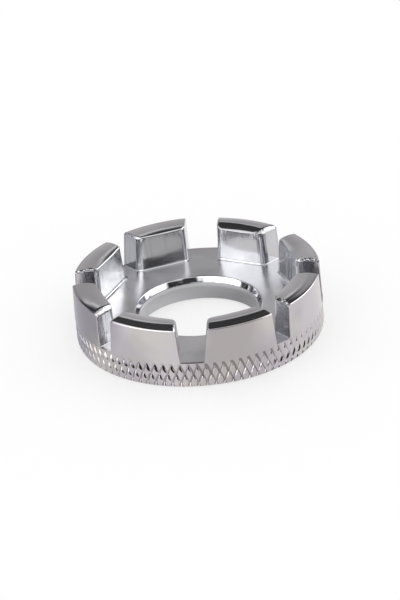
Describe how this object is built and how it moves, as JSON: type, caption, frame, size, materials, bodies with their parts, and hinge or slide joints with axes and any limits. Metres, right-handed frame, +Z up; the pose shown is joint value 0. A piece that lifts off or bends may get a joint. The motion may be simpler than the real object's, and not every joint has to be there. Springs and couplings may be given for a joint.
{
  "type": "spoke wrench",
  "caption": "Round one-piece spoke wrench: a crown of slotted teeth on a web with a rounded centre hole and a diamond-knurled grip band.",
  "frame": {"origin": "centre of the flat base", "axes": "+Z up through the centre hole, -Y out through slot 1, the front slot in the picture"},
  "size_m": [0.04, 0.04, 0.0102],
  "materials": {
    "chrome_plate": "bright plating, polished on teeth and web, softer on the knurl"
  },
  "bodies": {
    "root": {"wrench_body": "chrome_plate"}
  },
  "joints": []
}
